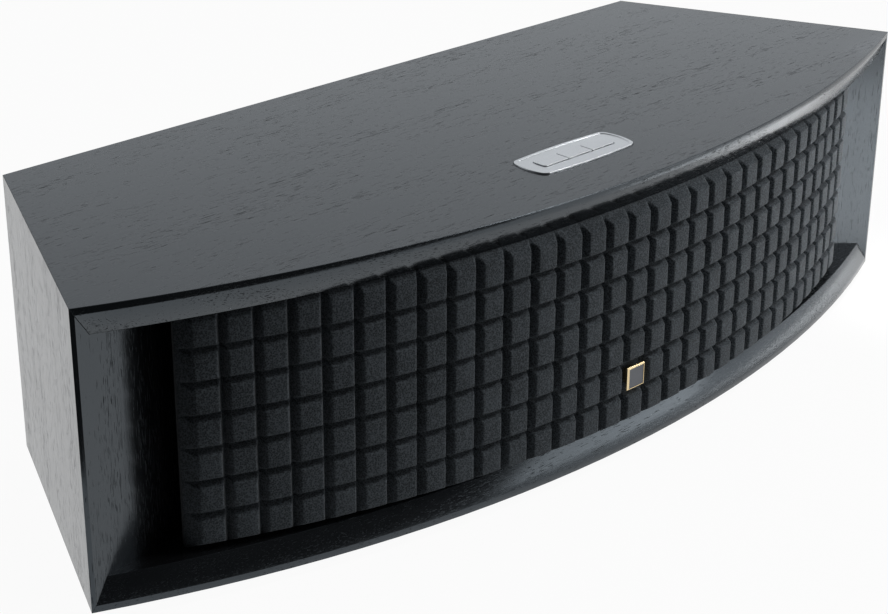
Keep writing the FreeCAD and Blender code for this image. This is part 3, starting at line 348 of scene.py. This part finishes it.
# %% Softened edges
SOFT_EDGES = {
    0.4: ("top_panel", "bottom_panel"),
    0.3: ("rear_panel", "connector_plate"),
    0.15: ("control_plate", "power_key", "volume_down_key", "volume_up_key"),
}
SAME_POINT, FLAT_ANGLE, EDGE_ANGLE, ROUND_STEPS = 1e-6, 0.3, 10, 3


def soften(solid, radius):
    """Round the edges of a solid by a radius in millimetres."""
    weld = solid.modifiers.new("weld", "WELD")
    weld.merge_threshold = SAME_POINT
    merge = solid.modifiers.new("merge_flat", "DECIMATE")
    merge.decimate_type = "DISSOLVE"
    merge.angle_limit = math.radians(FLAT_ANGLE)
    rounding = solid.modifiers.new("round_edges", "BEVEL")
    rounding.width = radius * MM
    rounding.segments = ROUND_STEPS
    rounding.limit_method = "ANGLE"
    rounding.angle_limit = math.radians(EDGE_ANGLE)
    rounding.harden_normals = True


for radius, names in SOFT_EDGES.items():
    for name in names:
        soften(nodes[name], radius)
print("softened edges:", sum(len(names) for names in SOFT_EDGES.values()), "solids")

# %% [markdown]
# The grille is the piece that makes this speaker: 31 columns and 7 rows of foam blocks, like keys
# of a keyboard, on a sheet bent round an arc. Separate blocks would leave seams, and displacement
# would need millions of faces, so the sheet is one grid whose points lie just where the profile
# turns: at the bottom of each groove, on its slope, on the edge and across the face. Three surfaces
# make a block: the slopes of the grooves along the arc, those up the height and the crowned face. The
# depth of a point is the deepest of the three, with the turn from one to the next rounded. For each
# direction four numbers describe the blocks: how many, how far apart, the width of the slope between
# groove and face, and that of the outermost slope, down to the sheet's rim. Points on a block and on
# the rim are given in widths of their slope.

# %% Block foam: the profile
BACK_RADIUS, FRONT_RADIUS = 605, 626
COLUMNS, ROWS = 31, 7
COLUMN_PITCH, ROW_PITCH = 17.0, 17.5
ALONG = (COLUMNS, COLUMN_PITCH, 2.9, 7.4)
UPWARD = (ROWS, ROW_PITCH, 2.4, 4.8)
GROOVE_DEPTH, RIM_DEPTH, SHEET = 6, 8, 11
EDGE_SOFTNESS = 0.5
ON_BLOCK = (0.35, 0.6, 0.8, 0.95, 1.1, 1.3, 1.6, 2.3)
ON_RIM = (0.25, 0.5, 0.75, 1.0)
SLACK = 0.01

foam_low, foam_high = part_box("grille_foam")
arc_centre = foam_low.y / MM + BACK_RADIUS
mid_height = (foam_low.z + foam_high.z) / 2 / MM


def stations(count, pitch, slope, outer_slope):
    """Places across a row of blocks where the profile needs a point, from the middle of the row."""
    half = count * pitch / 2
    places = []
    for block in range(count):
        start = block * pitch - half
        near = [start + slope * part for part in ON_BLOCK]
        far = [start + pitch - slope * part for part in reversed(ON_BLOCK)]
        places += ([start] if block else []) + near + [start + pitch / 2] + far
    edge = half - slope
    rim = [edge + outer_slope * part for part in ON_RIM]
    places = [place for place in places if abs(place) <= edge + SLACK * pitch]
    return [-place for place in reversed(rim)] + places + rim


def deeper(one, other):
    """The deeper of two depths, with the turn between them rounded."""
    return (one + other + math.hypot(one - other, EDGE_SOFTNESS)) / 2


def profile(place, count, pitch, slope, outer_slope):
    """Depth of the groove slopes along one direction, below zero where the face is."""
    edge = count * pitch / 2 - slope
    if abs(place) > edge - slope:
        return (abs(place) - edge) * RIM_DEPTH / outer_slope
    from_groove = abs((place + count * pitch / 2 + pitch / 2) % pitch - pitch / 2)
    return (slope - from_groove) * GROOVE_DEPTH / slope


across = stations(*ALONG)
upward = stations(*UPWARD)
print("foam grid:", len(across), "by", len(upward), "points")

# %% [markdown]
# Cut foam is never quite even, so each block's face sits a little higher or lower than its
# neighbours, leans a touch and is slightly crowned. The numbers are seeded, so that they are the same
# on each run. The badge takes the place of one block, and the sheet is flat under it. Bent foam
# springs back, so the front of the sheet lies on a slightly flatter arc than the back.

# %% Block foam: the depth at each point
UNEVEN, LEAN, CROWN = 0.35, 0.012, 0.2
BADGE_COLUMN, BADGE_ROW = COLUMNS // 2, 1
SEED = 7

dice = random.Random(SEED)
blocks = {
    (column, row): (dice.uniform(0, UNEVEN), dice.uniform(-LEAN, LEAN), dice.uniform(-LEAN, LEAN))
    for column in range(COLUMNS) for row in range(ROWS)
}


def foam_depth(u, v):
    """Depth of the foam at u along the arc and v up the height, both in millimetres from the middle."""
    column = min(max(int(u / COLUMN_PITCH + COLUMNS / 2), 0), COLUMNS - 1)
    row = min(max(int(v / ROW_PITCH + ROWS / 2), 0), ROWS - 1)
    slopes = deeper(profile(u, *ALONG), profile(v, *UPWARD))
    if (column, row) == (BADGE_COLUMN, BADGE_ROW):
        return max(slopes, GROOVE_DEPTH)
    sunk, lean_u, lean_v = blocks[column, row]
    from_u = u - (column + 0.5 - COLUMNS / 2) * COLUMN_PITCH
    from_v = v - (row + 0.5 - ROWS / 2) * ROW_PITCH
    crown = CROWN * ((2 * from_u / COLUMN_PITCH) ** 2 + (2 * from_v / ROW_PITCH) ** 2)
    return max(deeper(slopes, sunk + crown + lean_u * from_u + lean_v * from_v), 0)


def spring(u):
    """How far the front of the bent sheet stands out from the back's arc."""
    return u * u / 2 * (1 / BACK_RADIUS - 1 / FRONT_RADIUS)


def on_arc(u, v, depth):
    """A point of the foam in metres."""
    angle, radius = u / BACK_RADIUS, BACK_RADIUS - depth
    place = Vector((radius * math.sin(angle), arc_centre - radius * math.cos(angle), mid_height + v))
    return place * MM


print("depth in the middle of the grille:", round(foam_depth(0, 0), 2), "mm")

# %% [markdown]
# The back of the sheet is plain, so it has points only along its border. Walls join the border to the
# front, and strips from the lower to the upper edge close the back.

# %% Block foam: the sheet
def dressed_mesh(form, name, finish):
    """Turn a closed form into an object that wears one finish."""
    bmesh.ops.recalc_face_normals(form, faces=form.faces)
    mesh = bpy.data.meshes.new(name)
    form.to_mesh(mesh)
    form.free()
    mesh.materials.append(finish)
    return put(name, mesh)


sheet = bmesh.new()
front = [[sheet.verts.new(on_arc(u, v, foam_depth(u, v) - spring(u))) for v in upward] for u in across]
for left, right in zip(front, front[1:]):
    for low in range(len(upward) - 1):
        sheet.faces.new((left[low], right[low], right[low + 1], left[low + 1]))

last_u, last_v = len(across) - 1, len(upward) - 1
border = [(i, 0) for i in range(last_u)] + [(last_u, j) for j in range(last_v)]
border += [(i, last_v) for i in range(last_u, 0, -1)] + [(0, j) for j in range(last_v, 0, -1)]
back = {(i, j): sheet.verts.new(on_arc(across[i], upward[j], SHEET)) for i, j in border}
for (i, j), (m, n) in zip(border, border[1:] + border[:1]):
    sheet.faces.new((front[i][j], back[i, j], back[m, n], front[m][n]))


def back_points(i):
    """The back's points at one place along the arc: the whole end, or the lowest and the highest."""
    rows = range(last_v + 1) if i in (0, last_u) else (0, last_v)
    return [back[i, j] for j in rows]


for i in range(last_u):
    sheet.faces.new(back_points(i) + back_points(i + 1)[::-1])
foam = dressed_mesh(sheet, "block_foam", foam_finish)
for face in foam.data.polygons:
    face.use_smooth = True
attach(foam, "cabinet")
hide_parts("grille_foam")
print("foam faces:", len(foam.data.polygons))

# %% [markdown]
# The badge's gilt rim ends in a narrow bezel that leans back from the face. It is the one bright line
# on the grille, because its left and upper sides mirror the table and the key light. The bezel is a
# ring of four loops round the tile, each so far out from its edge and so far back from its front.

# %% Badge bezel
BEZEL_LOOPS = ((0, 0.05), (0.6, 0.75), (0.6, 1.6), (0, 1.6))

tile_low, tile_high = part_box("badge_rim_tile")
ring = bmesh.new()
loops = []
for out, behind in BEZEL_LOOPS:
    left, right = tile_low.x - out * MM, tile_high.x + out * MM
    low, high = tile_low.z - out * MM, tile_high.z + out * MM
    corners = ((left, low), (right, low), (right, high), (left, high))
    loops.append([ring.verts.new((x, tile_low.y + behind * MM, z)) for x, z in corners])
for here, there in zip(loops, loops[1:] + loops[:1]):
    for corner in range(4):
        after = (corner + 1) % 4
        ring.faces.new((here[corner], here[after], there[after], there[corner]))
bezel = dressed_mesh(ring, "badge_bezel", gilt)
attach(bezel, "cabinet")
print("bezel faces:", len(bezel.data.polygons))

# %% [markdown]
# The studio is a white table that ends just in front of the picture, towards the camera, so the edges
# that look at the camera mirror black while the slanting ones mirror the table. Rays from the camera
# see most of the table as plain white, with a part of the shadow kept. Mirrored rays see less of that
# plain white, and least of it round one spot on the right where a lamp lights the paper and its true
# brightness counts.

# %% White table
TABLE_SIZE, TABLE_EDGE = 6.0, 0.376
PAPER = {"Base Color": linear("#f4f4f4"), "Roughness": 0.9, "Specular IOR Level": 0.1}
WHITE_SEEN, WHITE_MIRRORED, WHITE_AT_SPOT = 0.95, 0.82, 0.3
SPOT, SPOT_RANGE = Vector((0.45, -0.24, 0)), (0.12, 0.27)

away = Vector((math.sin(math.radians(CAMERA_YAW)), math.cos(math.radians(CAMERA_YAW)), 0))
aside = Vector((away.y, -away.x, 0))
near, far = away * -TABLE_EDGE, away * TABLE_SIZE
half_wide = aside * TABLE_SIZE / 2
table_mesh = bpy.data.meshes.new("white_table")
corners = [near - half_wide, near + half_wide, far + half_wide, far - half_wide]
table_mesh.from_pydata(corners, [], [(0, 1, 2, 3)])
table = put("white_table", table_mesh)

paper_sheet, tree, shader, place = start_finish("matt_white_paper")
feed(tree, shader, PAPER)
rays = add(tree, "LightPath").outputs
seen = add(tree, "Math", {0: rays["Is Camera Ray"], 1: WHITE_SEEN}, operation="MULTIPLY").outputs[0]
bent = {0: rays["Is Glossy Ray"], 1: rays["Is Transmission Ray"]}
bent = add(tree, "Math", bent, operation="MAXIMUM").outputs[0]
from_spot = add(tree, "VectorMath", {0: place, 1: SPOT}, operation="DISTANCE").outputs["Value"]
apart = remap(tree, from_spot, SPOT_RANGE, shape="SMOOTHSTEP")
white = add(tree, "Mix", {"Factor": apart, 2: WHITE_AT_SPOT, 3: WHITE_MIRRORED}).outputs[0]
share = add_share(tree, bent, white, seen)
glow = add(tree, "Emission", {"Color": WHITE, "Strength": 1.0}).outputs[0]
lit = add(tree, "MixShader", {0: share, 1: shader.outputs[0], 2: glow}).outputs[0]
feed(tree, tree.nodes["Material Output"], {"Surface": lit})
table_mesh.materials.append(paper_sheet)
print("table:", TABLE_SIZE, "m, its edge", TABLE_EDGE, "m in front of the speaker's middle")

# %% [markdown]
# Behind the speaker stands a white wall, brightest near the table and dimmer towards the ceiling, and
# behind the camera the room is dark. The camera itself sees the wall as plain white.

# %% Room
ROOM_LOW, ROOM_HIGH, ROOM_DARK = 1.26, 0.3, 0.04
WALL_RANGE, TURN_RANGE = (0, 0.62), (-0.4, 0.2)
ROOM_COLOUR = "#f7fbff"

room = bpy.data.worlds.new("white_room")
room.use_nodes = True
tree = room.node_tree
way = add(tree, "TexCoord").outputs["Generated"]
ahead = add(tree, "VectorMath", {0: way, 1: tuple(away)}, operation="DOT_PRODUCT").outputs["Value"]
rise = add(tree, "SeparateXYZ", {"Vector": way}).outputs["Z"]
wall = remap(tree, rise, WALL_RANGE, (ROOM_LOW, ROOM_HIGH))
turn = remap(tree, ahead, TURN_RANGE, shape="SMOOTHSTEP")
wall = add(tree, "Mix", {"Factor": turn, 2: ROOM_DARK, 3: wall}).outputs[0]
plain = add(tree, "LightPath").outputs["Is Camera Ray"]
feed(tree, tree.nodes["Background"], {
    "Strength": add(tree, "Mix", {"Factor": plain, 2: wall, 3: 1.0}).outputs[0],
    "Color": blend(tree, plain, linear(ROOM_COLOUR), WHITE),
})
bpy.context.scene.world = room
bpy.context.scene.view_settings.view_transform = "Standard"
print("room:", ROOM_LOW, "at the table,", ROOM_HIGH, "at the ceiling,", ROOM_DARK, "behind the camera")

# %% [markdown]
# Soft boxes are rectangles of light. The key light hangs high on the right, in front. A second stands
# low, close by, so that the right of the grille is pale and the left falls into shade. The third has a
# grid, which narrows its beam, and hangs low over the table beside the speaker: the bright paper under
# it is what the slanting wall and the front edge mirror on the right.

# %% Soft boxes
ABOVE_SPOT = Vector((0, 0, 0.22))


def soft_box(name, place, aim, size, watts, spread=180):
    """A rectangular area lamp that looks at a point; places in metres, spread of the beam in degrees."""
    lamp = bpy.data.lights.new(name, "AREA")
    lamp.shape = "RECTANGLE"
    lamp.size, lamp.size_y = size
    lamp.energy = watts
    lamp.spread = math.radians(spread)
    item = put(name, lamp)
    item.location = place
    item.rotation_euler = (Vector(aim) - Vector(place)).to_track_quat("-Z", "Y").to_euler()


soft_box("key_right", place=(0.85, -0.67, 1.33), aim=(0, -0.1, 0.1), size=(0.4, 0.4), watts=8.2)
soft_box("front_right", place=(0.52, -0.76, 0.2), aim=(0.05, -0.1, 0.16), size=(0.5, 0.3), watts=0.95)
soft_box("table_right", place=SPOT + ABOVE_SPOT, aim=SPOT, size=(0.38, 0.38), watts=1.25, spread=35)
print("soft boxes:", len(bpy.data.lights))
